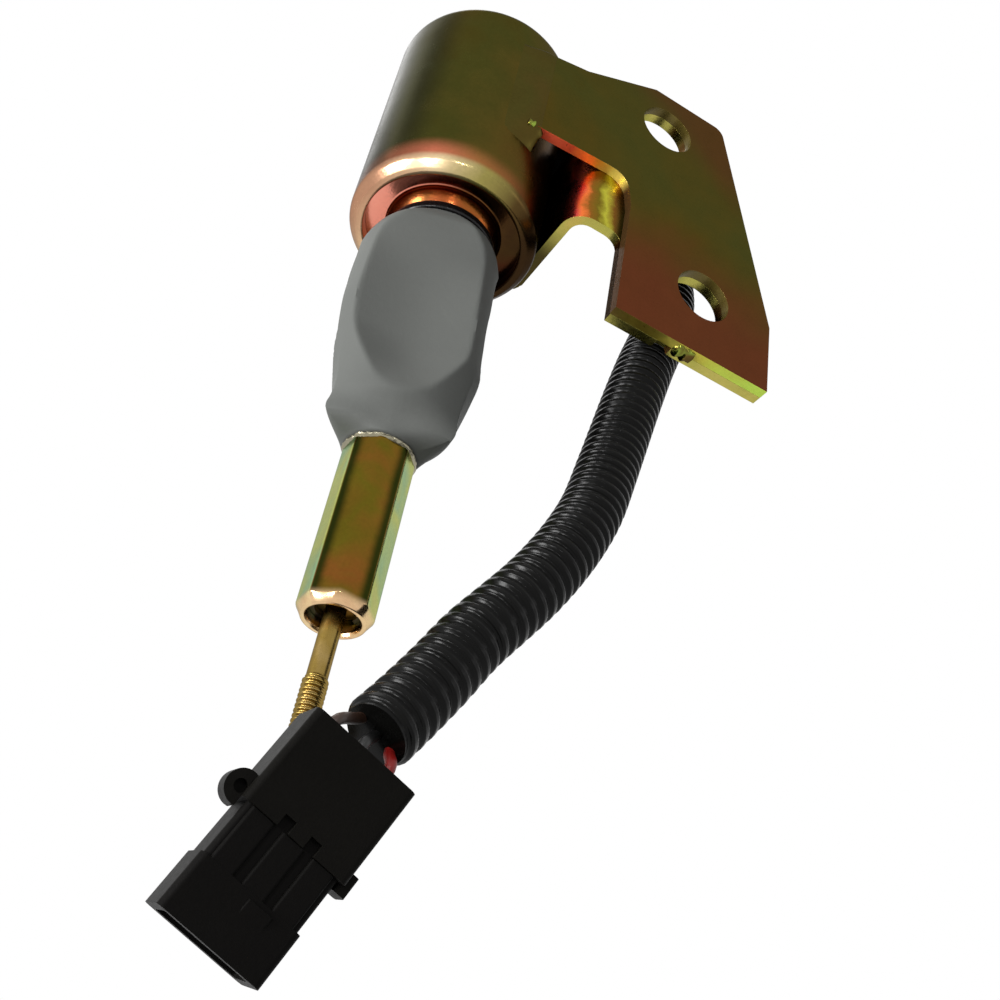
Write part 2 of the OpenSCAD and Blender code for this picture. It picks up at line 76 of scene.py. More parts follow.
def makeCamera():
    data = bpy.data.cameras.new("camera")
    data.lens = view["lens"]
    data.sensor_width = 36
    data.clip_start = 0.01
    data.clip_end = 20
    camera = bpy.data.objects.new("camera", data)
    bpy.context.scene.collection.objects.link(camera)
    turn = Matrix((view["right"], view["up"], [-v for v in view["ahead"]])).transposed()
    camera.matrix_world = Matrix.Translation(view["spot"]) @ turn.to_4x4()
    bpy.context.scene.camera = camera


def makeLamps():
    for lamp in lamps:
        data = bpy.data.lights.new(lamp["name"], "AREA")
        data.size = lamp["size"]
        data.energy = lamp["power"]
        obj = bpy.data.objects.new(lamp["name"], data)
        bpy.context.scene.collection.objects.link(obj)
        obj.location = lamp["spot"]
        obj.rotation_mode = "QUATERNION"
        obj.rotation_quaternion = (Vector(lamp["aim"]) - Vector(lamp["spot"])).to_track_quat("-Z", "Y")
        obj.visible_camera = False


# shader and geometry maths: a wire is a socket that takes part in sums

def operator(kind, swapped=False):
    return lambda self, other: self.sum(kind, other, self) if swapped else self.sum(kind, self, other)


class Wire:
    __add__, __radd__ = operator("ADD"), operator("ADD", True)
    __sub__, __rsub__ = operator("SUBTRACT"), operator("SUBTRACT", True)
    __mul__, __rmul__ = operator("MULTIPLY"), operator("MULTIPLY", True)
    __truediv__ = operator("DIVIDE")
    __pow__ = operator("POWER")

    def __init__(self, board, socket):
        self.board, self.socket = board, socket

    def sum(self, operation, *values):
        return self.board.add("ShaderNodeMath", {"operation": operation}, dict(enumerate(values)))

    def size(self):
        return self.sum("ABSOLUTE", self)

    def wave(self):
        return self.sum("SINE", self)

    def held(self):
        return self.sum("MAXIMUM", self.sum("MINIMUM", self, 1.0), 0.0)

    def step(self, low, high):  # 0 below low, 1 above high, smooth between
        return self.board.add("ShaderNodeMapRange", {"interpolation_type": "SMOOTHSTEP"},
                              {"Value": self, "From Min": low, "From Max": high})


class Board:
    def __init__(self, tree):
        self.tree = tree

    def add(self, kind, settings=None, values=None, out=0):
        node = self.tree.nodes.new(kind)
        for name, value in (settings or {}).items():
            if name == "stops":
                ramp = node.color_ramp.elements
                while len(ramp) < len(value):
                    ramp.new(0.5)
                for stop, (at, colour) in zip(ramp, value):
                    stop.position = at
                    stop.color = colour
            else:
                setattr(node, name, value)
        for name, value in (values or {}).items():
            socket = node.inputs[name]
            if isinstance(value, Wire):
                self.tree.links.new(value.socket, socket)
            elif isinstance(value, bpy.types.NodeSocket):
                self.tree.links.new(value, socket)
            else:
                socket.default_value = value
        return Wire(self, node.outputs[out])

    def blend(self, factor, first, second, way="MIX"):
        return self.add("ShaderNodeMix", {"data_type": "RGBA", "blend_type": way},
                        {0: factor, 6: first, 7: second}, 2)

    def ramp(self, factor, *stops):  # each stop is a place and a colour as seen on screen
        return self.add("ShaderNodeValToRGB", {"stops": [(at, tone(*c)) for at, c in stops]}, {0: factor})

    def spots(self, where, scale, detail=3.0, rough=0.5, warp=0.0):
        return self.add("ShaderNodeTexNoise", {}, {"Vector": where, "Scale": scale, "Detail": detail,
                                                   "Roughness": rough, "Distortion": warp})

    def apart(self, vector):  # x, y and z of a vector
        first = self.add("ShaderNodeSeparateXYZ", {}, {0: vector})
        return [Wire(self, s) for s in first.socket.node.outputs]


def tone(r, g, b):  # a colour as seen on screen, 0 to 255
    return tuple(((c / 255 + 0.055) / 1.055) ** 2.4 if c > 10 else c / 255 / 12.92
                 for c in (r, g, b)) + (1.0,)


def shaded(colour, share):  # a colour made lighter or darker
    return tuple(min(1, c * share) for c in tone(*colour)[:3]) + (1,)


def newFinish(name):
    material = bpy.data.materials.new(name)
    material.use_nodes = True
    material.node_tree.nodes.clear()
    board = Board(material.node_tree)
    where = board.add("ShaderNodeTexCoord", {}, {}, 3)
    facing = Wire(board, where.socket.node.outputs[1])
    return material, board, where, facing


def close(board, colour, rough, fixed, bump=None):
    values = {"Base Color": colour, "Roughness": rough}
    values.update(fixed)
    if bump:
        height, strength, distance = bump
        values["Normal"] = board.add("ShaderNodeBump", {}, {"Strength": strength, "Distance": distance,
                                                            "Height": height})
    shader = board.add("ShaderNodeBsdfPrincipled", {}, values)
    end = board.tree.nodes.new("ShaderNodeOutputMaterial")
    board.tree.links.new(shader.socket, end.inputs[0])


def seenRays(board):  # 1 for rays from the camera, by mirrors and through glass
    outs = board.add("ShaderNodeLightPath").socket.node.outputs
    camera = Wire(board, outs["Is Camera Ray"])
    mirrored = camera.sum("MAXIMUM", camera, outs["Is Glossy Ray"])
    return camera.sum("MAXIMUM", mirrored, outs["Is Transmission Ray"])


def makeWorld():
    world = bpy.data.worlds.new("studio")
    bpy.context.scene.world = world
    world.use_nodes = True
    world.node_tree.nodes.clear()
    board = Board(world.node_tree)
    plain = board.add("ShaderNodeBackground", {}, {"Color": (1, 1, 1, 1), "Strength": room["ambient"]})
    white = board.add("ShaderNodeBackground", {}, {"Color": (1, 1, 1, 1), "Strength": 1.0})
    mixed = board.add("ShaderNodeMixShader", {}, {0: seenRays(board), 1: plain, 2: white})
    end = world.node_tree.nodes.new("ShaderNodeOutputWorld")
    world.node_tree.links.new(mixed.socket, end.inputs[0])


def makeFloor():
    half = room["floorSize"] / 2
    mesh = bpy.data.meshes.new("floor")
    corners = ((-half, -half), (half, -half), (half, half), (-half, half))
    mesh.from_pydata([(x, y, room["floorHeight"]) for x, y in corners], [], [(0, 1, 2, 3)])
    floor = bpy.data.objects.new("floor", mesh)
    bpy.context.scene.collection.objects.link(floor)
    material, board, where = newFinish("paleFloor")[:3]
    grain = board.spots(where, 30, 2)
    glow = board.blend(seenRays(board), (0, 0, 0, 1), [room["floorGlow"]] * 3 + [1])
    close(board, board.blend(grain, (0.80, 0.80, 0.80, 1), (0.84, 0.84, 0.84, 1)), 0.8,
          {"Specular IOR Level": 0.2, "Emission Color": glow, "Emission Strength": 1.0})
    mesh.materials.append(material)


makeCamera()
makeLamps()
makeWorld()
makeFloor()
print("camera, lamps and floor are set")


# mesh helpers

def smoothTable(table, at):  # a rising table read without kinks or overshoot
    n = len(table)
    if at <= table[0][0]:
        return table[0][1]
    if at >= table[-1][0]:
        return table[-1][1]
    k = max(i for i in range(n - 1) if table[i][0] <= at)
    slopes = []
    for i in (k, k + 1):
        if i == 0 or i == n - 1:
            slopes.append(0.0)
            continue
        a = (table[i][1] - table[i - 1][1]) / (table[i][0] - table[i - 1][0])
        b = (table[i + 1][1] - table[i][1]) / (table[i + 1][0] - table[i][0])
        slopes.append(0.0 if a * b <= 0 else 2 * a * b / (a + b))
    h = table[k + 1][0] - table[k][0]
    t = (at - table[k][0]) / h
    return ((2 * t ** 3 - 3 * t * t + 1) * table[k][1] + (t ** 3 - 2 * t * t + t) * h * slopes[0]
            + (3 * t * t - 2 * t ** 3) * table[k + 1][1] + (t ** 3 - t * t) * h * slopes[1])


def filleted(corners, steps=5):  # corners are (x, y) or (x, y, radius)
    result = []
    n = len(corners)
    for i, corner in enumerate(corners):
        here = Vector(corner[:2])
        if len(corner) < 3 or corner[2] <= 0:
            result.append(tuple(here))
            continue
        back, on = Vector(corners[i - 1][:2]) - here, Vector(corners[(i + 1) % n][:2]) - here
        a, b = back.normalized(), on.normalized()
        half = a.angle(b) / 2
        cut = min(corner[2] / math.tan(half), 0.49 * back.length, 0.49 * on.length)
        centre = here + (a + b).normalized() * (cut / math.cos(half))
        v, w = here + a * cut - centre, here + b * cut - centre
        full = v.angle(w)
        for s in range(steps + 1):
            t = s / steps
            p = centre + (v * math.sin((1 - t) * full) + w * math.sin(t * full)) / math.sin(full)
            result.append(tuple(p))
    return result


def makePiece(name, points, faces, body, material, stands=(), sharp=None):
    mesh = bpy.data.meshes.new(name)
    mesh.from_pydata([place(p) for p in points], [], faces)
    return finishPiece(name, mesh, body, material, stands, sharp)


def finishPiece(name, mesh, body, material, stands=(), sharp=None):
    mesh.name = name
    work = bmesh.new()
    work.from_mesh(mesh)
    bmesh.ops.recalc_face_normals(work, faces=work.faces)
    work.to_mesh(mesh)
    work.free()
    mesh.shade_smooth()
    if sharp is not None:
        mesh.set_sharp_from_angle(angle=math.radians(sharp))
    mesh.materials.clear()
    mesh.materials.append(material)
    obj = bpy.data.objects.new(name, mesh)
    bpy.context.scene.collection.objects.link(obj)
    if body:
        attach(obj, body)
    if stands:
        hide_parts(*stands)
    return obj


def gridFaces(rows, across, wrapRows=False):
    faces = []
    for j in range(rows if wrapRows else rows - 1):
        k = (j + 1) % rows
        for i in range(across):
            n = (i + 1) % across
            faces.append((j * across + i, j * across + n, k * across + n, k * across + i))
    return faces


def closeEnds(points, faces, rows, around, middles):  # a fan of triangles on the first and last row
    for row, middle in zip((0, rows - 1), middles):
        points.append(middle)
        last = len(points) - 1
        faces.extend((last, row * around + i, row * around + (i + 1) % around) for i in range(around))


def divided(loop, longest):  # long stretches are cut, so that the shading stays even
    rows = []
    for a, b in zip(loop, loop[1:] + loop[:1]):
        rows.append(a)
        n = int((Vector(b) - Vector(a)).length // longest)
        for k in range(1, n + 1):
            rows.append((a[0] + (b[0] - a[0]) * k / (n + 1), a[1] + (b[1] - a[1]) * k / (n + 1)))
    return rows


def lathe(profile, turns=144, reach=None):
    # profile is a closed loop of (radius, z), or an open one with both ends on the axis
    poles = profile[0][0] == 0 and profile[-1][0] == 0
    rows = profile[1:-1] if poles else profile
    points = []
    for r, z in rows:
        for i in range(turns):
            a = 2 * math.pi * i / turns
            q = reach(a, r, z) if reach else r
            points.append((q * math.cos(a), q * math.sin(a), z))
    faces = gridFaces(len(rows), turns, not poles)
    if poles:
        closeEnds(points, faces, len(rows), turns, [(0, 0, profile[0][1]), (0, 0, profile[-1][1])])
    return points, faces


def curved(points, n):  # extra points between the given ones, as the route is drawn in the source
    result = []
    for i in range(len(points) - 1):
        a, b = Vector(points[max(i - 1, 0)]), Vector(points[i])
        c, d = Vector(points[i + 1]), Vector(points[min(i + 2, len(points) - 1)])
        for k in range(n):
            t = k / n
            result.append(0.5 * (2 * b + (c - a) * t + (2 * a - 5 * b + 4 * c - d) * t * t
                                 + (3 * b - a - 3 * c + d) * t ** 3))
    return result + [Vector(points[-1])]


def heading(path, i):
    return (path[min(i + 1, len(path) - 1)] - path[max(i - 1, 0)]).normalized()


def carried(path):  # a side vector that follows the path without twist
    side = Vector((0, 1, 0.05))
    result = []
    for i in range(len(path)):
        h = heading(path, i)
        side = (side - h * side.dot(h)).normalized()
        result.append(side)
    return result


def swept(path, radii, around=32):
    sides = carried(path)
    points = []
    for i, p in enumerate(path):
        u, w = sides[i], heading(path, i).cross(sides[i])
        for k in range(around):
            b = 2 * math.pi * k / around
            points.append(p + radii[i] * (u * math.cos(b) + w * math.sin(b)))
    faces = gridFaces(len(path), around)
    closeEnds(points, faces, len(path), around, [path[0], path[-1]])
    return points, faces


# finishes, which read places in the frame's metres

def zinc(name, colours, lowHigh=None, swirl=16.0, rough=0.26, edge=None, bands=None, grain=0.5):
    # yellow zinc plating: slow drifts of colour, finer clouds, a little orange peel
    material, board, where, facing = newFinish(name)
    slow = board.spots(where, swirl, 2.5, 0.55, 0.6)
    cloud = board.spots(where, 130, 4.0, 0.6)
    fine = board.spots(where, 1500, 3.0, 0.6)
    drift = (slow - 0.5) * 1.5 + 0.5 + (cloud - 0.5) * 0.35
    if lowHigh:  # the drift leans on a direction: (vector, offset, gain)
        x, y, z = board.apart(where)
        lean, offset, gain = lowHigh
        drift = drift + (x * lean[0] + y * lean[1] + z * lean[2] + offset) * gain
    n = len(colours) - 1
    colour = board.ramp(drift, *[(i / n, c) for i, c in enumerate(colours)])
    if bands:
        colour = bands(board, where, facing, colour, slow, cloud)
    metallic = 1.0
    if edge:  # sheared faces are duller than the sheet
        colour = edge(board, where, facing, colour, slow, cloud)
        metallic = board.apart(facing)[1].size().step(*sideways) * 0.55 + 0.45
    shade = board.blend((fine - 0.5) * 0.9 + (cloud - 0.5) * 0.9 + 0.5,
                        (0.84, 0.84, 0.84, 1), (1.16, 1.16, 1.16, 1))
    colour = board.blend(1.0, colour, shade, "MULTIPLY")
    roughness = (cloud - 0.5) * 0.16 + (fine - 0.5) * 0.1 + rough
    height = fine * 0.6 + cloud
    close(board, colour, roughness, {"Metallic": metallic, "Specular Tint": (0.52, 0.52, 0.52, 1)},
          (height, grain * 0.35, 0.0002))
    return material


def steel(name, colour, rough=0.32, scale=300):
    material, board, where = newFinish(name)[:3]
    cloud = board.spots(where, scale, 4, 0.6)
    fine = board.spots(where, scale * 9, 2)
    tint = board.blend(cloud, shaded(colour, 0.72), tone(*colour))
    close(board, tint, (fine - 0.5) * 0.15 + (cloud - 0.5) * 0.15 + rough, {"Metallic": 1.0},
          (fine, 0.15, 0.0001))
    return material


def moulded(name, colour, spread=0.25, rough=0.5, scale=250, bump=0.2, sheen=0.0, scuff=None, level=0.5):
    material, board, where = newFinish(name)[:3]
    cloud = board.spots(where, scale * 0.2, 4, 0.6)
    fine = board.spots(where, scale * 6, 3, 0.65)
    tint = board.blend((cloud - 0.5) * 1.2 + (fine - 0.5) * 0.7 + 0.5,
                       shaded(colour, 1 - spread), shaded(colour, 1 + spread))
    if scuff:
        rubbed = board.spots(where, scale * 0.45, 6, 0.75, 1.2).step(0.6, 0.75)
        tint = board.blend(rubbed * 0.5, tint, tone(*scuff))
    close(board, tint, (fine - 0.5) * 0.2 + (cloud - 0.5) * 0.15 + rough,
          {"Sheen Weight": sheen, "Specular IOR Level": level}, (fine + cloud * 0.4, bump, 0.0002))
    return material


def windings(name, colour):
    material, board, where = newFinish(name)[:3]
    spacing = 0.0006
    turns = (board.apart(where)[2] * (math.pi * 2 / spacing)).wave()
    cloud = board.spots(where, 200, 3)
    # painted shade: the colour darkens between the turns, in the grooves
    tint = board.blend(turns * 0.4 + 0.5 + (cloud - 0.5) * 0.3, shaded(colour, 0.4), tone(*colour))
    close(board, tint, 0.35, {"Metallic": 1.0}, (turns, 0.5, 0.0002))
    return material


olive = (76, 64, 22)
green = (68, 66, 26)
brown = (82, 56, 24)
russet = (96, 48, 30)
sideways = (0.35, 0.9)  # a face that turns from edge to sheet, by the size of its normal's y


def plateBands(board, where, facing, colour, slow, cloud):
    # green between the holes, russet round and under the lower one and beside the upper one
    x, z = board.apart(where)[::2]
    low = (z * -1.0 + (slow - 0.5) * 0.03).step(0.006, 0.036)
    high = (z + x * 0.6 + (slow - 0.5) * 0.03).step(0.016, 0.034)
    colour = board.blend(low * 0.85, colour, tone(*russet))
    return board.blend(high * 0.6, colour, tone(84, 47, 27))


def frontEdge(board, where, facing, colour, slow, cloud):
    # sheared edges: the ones facing down are painted bright as a highlight, gold and bright green below, red
    # to gold in the notch; the rest are darker
    x, z = board.apart(where)[::2]
    ny, nz = board.apart(facing)[1:]
    side = 1 - ny.size().step(*sideways)
    under = (nz * -1.0).step(0.3, 0.8)
    across, up = 0.0075, 0.026  # the holes lie at (-across, up) and (across, -up)
    far = ((x + across) * (x + across) + (z - up) * (z - up)) ** 0.5
    near = ((x - across) * (x - across) + (z + up) * (z + up)) ** 0.5
    hole = 1 - far.sum("MINIMUM", far, near).step(0.0078, 0.0086)
    notch = z.step(-0.03, -0.012)
    warm = board.ramp((x + 0.042) * 45 + (cloud - 0.5) * 0.5, (0.0, (226, 84, 56)), (0.45, (244, 98, 58)),
                      (0.8, (250, 176, 60)), (1.0, (244, 214, 110)))
    cold = board.ramp((x + 0.016) * 26 + (cloud - 0.5) * 0.5, (0.0, (104, 84, 30)), (0.4, (134, 122, 40)),
                      (0.62, (208, 196, 66)), (1.0, (200, 232, 84)))
    lower = board.blend(notch, cold, warm)
    # painted highlight: cut faces that face down take the bright ramps, the others a dull brown
    cut = board.blend(under, tone(82, 58, 34), lower)
    cut = board.blend(hole, cut, tone(112, 98, 44))
    return board.blend(side * 0.92, colour, cut)


def strapEdge(board, where, facing, colour, slow, cloud):
    x, y = board.apart(where)[:2]
    ny, nz = board.apart(facing)[1:]
    side = 1 - ny.size().step(*sideways)
    under = (nz * -1.0).step(0.3, 0.8)
    bend = 1 - x.step(-0.018, -0.0145)  # the hump that turns back to the can
    # painted highlight: the bend is painted red, gold and green where it catches light
    hump = board.ramp((x + 0.0285) * 90 + (cloud - 0.5) * 0.6, (0.0, (60, 30, 18)), (0.16, (244, 92, 88)),
                      (0.31, (244, 124, 62)), (0.44, (140, 92, 34)), (0.62, (116, 98, 30)),
                      (0.80, (184, 180, 60)), (1.0, (120, 80, 32)))
    # cut edges: those facing down are painted pale as a highlight, the rest darker, and darker towards the
    # can as painted shade
    cut = board.blend(cloud, tone(150, 156, 62), tone(196, 178, 100))
    cut = board.blend(y.step(0.008, 0.02), cut, tone(62, 58, 28))
    cut = board.blend(under, tone(92, 66, 34), cut)
    # painted shade: the leg beside the can is darkened almost to black
    colour = board.blend(y.step(0.006, 0.012) * 0.9, board.blend(bend, colour, hump), tone(18, 15, 9))
    return board.blend(side * (1 - bend * (1 - under) * 0.6) * 0.9, colour, cut)


def shellBands(board, where, facing, colour, slow, cloud):
    # rose above the rolled mouth and a pale lip: the lip's cream is a painted highlight, and lip and rose
    # band fall to painted shade at the right; a darker band to the left of the can is painted shade
    x, z = board.apart(where)[::2]
    right = x - axis[0]
    # painted shade: a dark band down the can's left side
    left = (right * -1.0).step(0.0125, 0.019)
    colour = board.blend(left * 0.8, colour, tone(40, 40, 22))
    up = z - mouth
    roll = 1 - (up + (slow - 0.5) * 0.0016).step(0.0024, 0.0044)
    pink = 1 - (up + (slow - 0.5) * 0.004).step(0.0042, 0.0100)
    across = right * 26 + 0.55 + (slow - 0.5) * 0.5
    # the rose band darkens to the right as painted shade
    blush = board.ramp(across, (0.0, (112, 74, 52)), (0.25, (212, 118, 90)), (0.5, (160, 104, 60)),
                       (0.8, (104, 62, 34)), (1.0, (70, 48, 22)))
    colour = board.blend(pink * 0.85, colour, blush)
    # painted highlight: the lip is cream left of centre, then painted shade to the right
    lip = board.ramp(across, (0.0, (190, 142, 112)), (0.3, (226, 204, 160)), (0.55, (150, 142, 78)),
                     (0.8, (80, 64, 34)), (1.0, (46, 32, 18)))
    return board.blend(roll * 0.9, colour, lip)


def couplingBands(board, where, facing, colour, slow, cloud):
    # painted reflection: a dark strip inside each side edge and pale lime and cream beyond it; a creamy
    # rolled end, painted as a highlight
    x, y, z = board.apart(where)
    u, v = x - axis[0], y - axis[1]
    flat = (-0.309, -0.951)  # the way that the front flat faces
    front = (u * flat[0] + v * flat[1]).size() / ((u * u + v * v) ** 0.5)
    # painted reflection: dark strip just inside each side edge, pale strip beyond
    dark = front.step(0.70, 0.74) * (1 - (front + (cloud - 0.5) * 0.06).step(0.77, 0.92))
    pale = board.ramp(slow, (0.0, (214, 196, 140)), (0.4, (196, 204, 120)), (0.6, (160, 196, 150)),
                      (1.0, (206, 210, 112)))
    colour = board.blend(dark * 0.9, colour, board.blend(slow, tone(22, 22, 10), tone(26, 52, 12)))
    colour = board.blend((1 - front.step(0.68, 0.72)) * 0.92, colour, pale)
    # painted highlight: cream on the rolled end
    rim = 1 - (z - barEnd + (cloud - 0.5) * 0.0008).step(0.0008, 0.003)
    return board.blend(rim * 0.85, colour, board.blend(cloud, tone(222, 160, 118), tone(240, 222, 176)))


def neckBands(board, where, facing, colour, slow, cloud):
    # rose ring inside the mouth, painted bright at the left as a reflection and falling to painted shade at
    # the right; copper neck
    under = (board.apart(facing)[2] * -1.0).step(0.4, 0.9)
    across = (board.apart(where)[0] - axis[0]) * 28 + 0.6 + (cloud - 0.5) * 0.2
    # painted reflection: the ring is bright at the left and dark at the right
    ring = board.ramp(across, (0.0, (244, 160, 140)), (0.3, (214, 128, 108)), (0.6, (66, 42, 27)),
                      (1.0, (26, 21, 14)))
    return board.blend(under * 0.9, colour, ring)


finish = {
    "platedShell": zinc("platedShell", [olive, green, (82, 68, 27), brown], ((18, 0, 0), 0.9, 1.0), 22, 0.24,
                        bands=shellBands),
    "platedNeck": zinc("platedNeck", [(120, 52, 26), (158, 74, 34), (150, 104, 46), (110, 58, 30)],
                       swirl=60, rough=0.2, bands=neckBands),
    "platedBracket": zinc("platedBracket", [olive, green, olive, brown], swirl=20, rough=0.3,
                          bands=plateBands, edge=frontEdge),
    "platedStrap": zinc("platedStrap", [olive, brown, green, brown], swirl=24, rough=0.28, bands=strapEdge),
    "platedSeam": zinc("platedSeam", [(74, 62, 26), (72, 66, 28), (80, 58, 28)], swirl=24, rough=0.3),
    "platedCoupling": zinc("platedCoupling", [(112, 82, 28), (100, 88, 24), (124, 78, 32), (112, 96, 32)],
                           swirl=70, rough=0.22, bands=couplingBands),
    "platedRod": zinc("platedRod", [(158, 136, 80), (140, 116, 58), (164, 140, 92)], swirl=120, rough=0.27),
    "platedWasher": zinc("platedWasher", [(150, 128, 72), (138, 110, 54)], swirl=120, rough=0.3),
    "weldMetal": zinc("weldMetal", [(84, 100, 40), (130, 150, 60), (90, 70, 34), (40, 38, 20)],
                      swirl=300, rough=0.2, grain=1.2),
    "crimpedEdge": steel("crimpedEdge", (160, 154, 132), 0.3, 900),
    "poleSteel": steel("poleSteel", (150, 150, 148)),
    "plungerSteel": steel("plungerSteel", (158, 156, 150), 0.25),
    "springWire": steel("springWire", (120, 118, 112), 0.28),
    "snapSteel": steel("snapSteel", (70, 68, 64), 0.35),
    "tinPins": steel("tinPins", (196, 194, 186), 0.3, 500),
    "guideBrass": steel("guideBrass", (190, 156, 84), 0.3),
    "pullWire": windings("pullWire", (184, 96, 54)),
    "holdWire": windings("holdWire", (164, 84, 46)),
    "fibre": moulded("fibre", (128, 76, 56), 0.3, 0.8),
    "nylon": moulded("nylon", (214, 208, 190), 0.06, 0.5),
    "bootRubber": moulded("bootRubber", (101, 103, 100), 0.08, 0.62, 160, 0.25, 0.0, (114, 116, 111), 0.2),
    "ringBlack": moulded("ringBlack", (14, 12, 13), 0.3, 0.26, level=0.25),
    "sealRubber": moulded("sealRubber", (16, 16, 16), 0.3, 0.5, level=0.2),
    "elbowRubber": moulded("elbowRubber", (12, 12, 12), 0.25, 0.55, 200, 0.3, level=0.05),
    "conduitPlastic": moulded("conduitPlastic", (10, 10, 9), 0.3, 0.22, 180, 0.12, level=0.1),
    "wireRed": moulded("wireRed", (150, 26, 22), 0.2, 0.4),
    "wireBlack": moulded("wireBlack", (22, 22, 22), 0.25, 0.4),
    "wireBrown": moulded("wireBrown", (52, 34, 24), 0.2, 0.4),
    "sealRed": moulded("sealRed", (128, 40, 26), 0.2, 0.6),
    "connectorPlastic": moulded("connectorPlastic", (18, 17, 16), 0.3, 0.46, 220, 0.25, 0.0, (30, 28, 27),
                                0.03),
    "lockPlastic": moulded("lockPlastic", (20, 19, 17), 0.3, 0.44, 220, 0.25, 0.0, (32, 30, 28), 0.03),
}
print("finishes are made:", len(finish))


# tubes along a path, with or without ribs: conduit, wires and springs

def tubeTree(material):
    tree = bpy.data.node_groups.new("tube on a path", "GeometryNodeTree")
    tree.interface.new_socket(name="Path", in_out="INPUT", socket_type="NodeSocketGeometry")
    ids = {}
    for name, kind, value in (("Radius", "NodeSocketFloat", 0.001), ("Sides", "NodeSocketInt", 24),
                              ("Rings", "NodeSocketInt", 100), ("Rib Pitch", "NodeSocketFloat", 0.0025),
                              ("Rib Depth", "NodeSocketFloat", 0.0), ("Open From", "NodeSocketFloat", 1.0),
                              ("Open Over", "NodeSocketFloat", 1.0), ("Opening", "NodeSocketFloat", 0.0)):
        socket = tree.interface.new_socket(name=name, in_out="INPUT", socket_type=kind)
        socket.default_value = value
        ids[name] = socket.identifier
    tree.interface.new_socket(name="Tube", in_out="OUTPUT", socket_type="NodeSocketGeometry")
    board = Board(tree)
    given = board.add("NodeGroupInput").socket.node
    take = {s.name: Wire(board, s) for s in given.outputs if s.name}
    curve = board.add("GeometryNodeMeshToCurve", {}, {"Mesh": take["Path"]})
    curve = board.add("GeometryNodeResampleCurve", {}, {"Curve": curve, "Count": take["Rings"]})
    along = board.add("GeometryNodeSplineParameter", {}, {}, 1)
    t = ((along - take["Open From"]) / take["Open Over"]).held()  # the ribs open out towards the plug
    eased = (t * t * t - t * t * t * t * 0.5) * take["Open Over"]
    beyond = along - take["Open From"] - take["Open Over"]
    past = beyond.sum("MAXIMUM", beyond, 0.0)
    count = along / take["Rib Pitch"] - (eased + past) * take["Opening"]
    wave = (count * (2 * math.pi)).wave()
    crest = wave.step(-0.45, 0.45)
    scale = 1 - (1 - crest) * take["Rib Depth"]
    ring = board.add("GeometryNodeCurvePrimitiveCircle", {}, {"Resolution": take["Sides"],
                                                              "Radius": take["Radius"]})
    tube = board.add("GeometryNodeCurveToMesh", {}, {"Curve": curve, "Profile Curve": ring, "Scale": scale,
                                                     "Fill Caps": True})
    tube = board.add("GeometryNodeSetShadeSmooth", {}, {"Geometry": tube})
    tube = board.add("GeometryNodeRealizeInstances", {}, {"Geometry": tube})
    tube = board.add("GeometryNodeSetMaterial", {}, {"Geometry": tube, "Material": material})
    end = tree.nodes.new("NodeGroupOutput")
    tree.links.new(tube.socket, end.inputs[0])
    return tree, ids


def tube(name, path, radius, material, slot, body, stands, sides=24, rings=None, ribs=None):
    mesh = bpy.data.meshes.new(name + "Path")
    mesh.from_pydata([place(p) for p in path], [(i, i + 1) for i in range(len(path) - 1)], [])
    guide = bpy.data.objects.new(name + "Path", mesh)
    bpy.context.scene.collection.objects.link(guide)
    tree, ids = tubeTree(material)
    modifier = guide.modifiers.new("tube", "NODES")
    modifier.node_group = tree
    values = {"Radius": radius / 1000, "Sides": sides, "Rings": rings or len(path)}
    values.update(ribs or {})
    for key, value in values.items():
        modifier[ids[key]] = value
    made = bpy.data.meshes.new_from_object(guide.evaluated_get(bpy.context.evaluated_depsgraph_get()))
    bpy.data.objects.remove(guide)
    return finishPiece(name, made, body, material, stands)


conduit = {"diameter": 13.5, "bore": 10.0, "sides": 30, "rings": 800,
           "ribs": {"Rib Pitch": 0.00236, "Rib Depth": 0.13, "Open From": 0.097, "Open Over": 0.065,
                    "Opening": 115.0},
           "route": [(50.2, -2.4, 43.8), (52.9, -2.7, 40.2), (55.2, -3.1, 35.6), (57.1, -3.7, 30.4),
                     (58.4, -4.5, 24.7), (59, -5.5, 18.6), (58.9, -6.6, 12.1), (58, -7.6, 5.4),
                     (56.5, -8.5, -1.4), (54.6, -9.3, -8.4), (52.7, -10, -15.6), (51, -10.5, -23.2),
                     (49.4, -10.6, -31.7), (47.8, -10.7, -40.8), (46, -10.8, -51), (43.6, -11.2, -63),
                     (40.4, -11.6, -72.6), (36.4, -11.8, -81.7), (32, -11.9, -90), (27.2, -11.8, -97.8),
                     (22.4, -11.8, -105.6), (17.6, -12, -115), (12.6, -12.6, -124), (8.4, -13.6, -131)]}


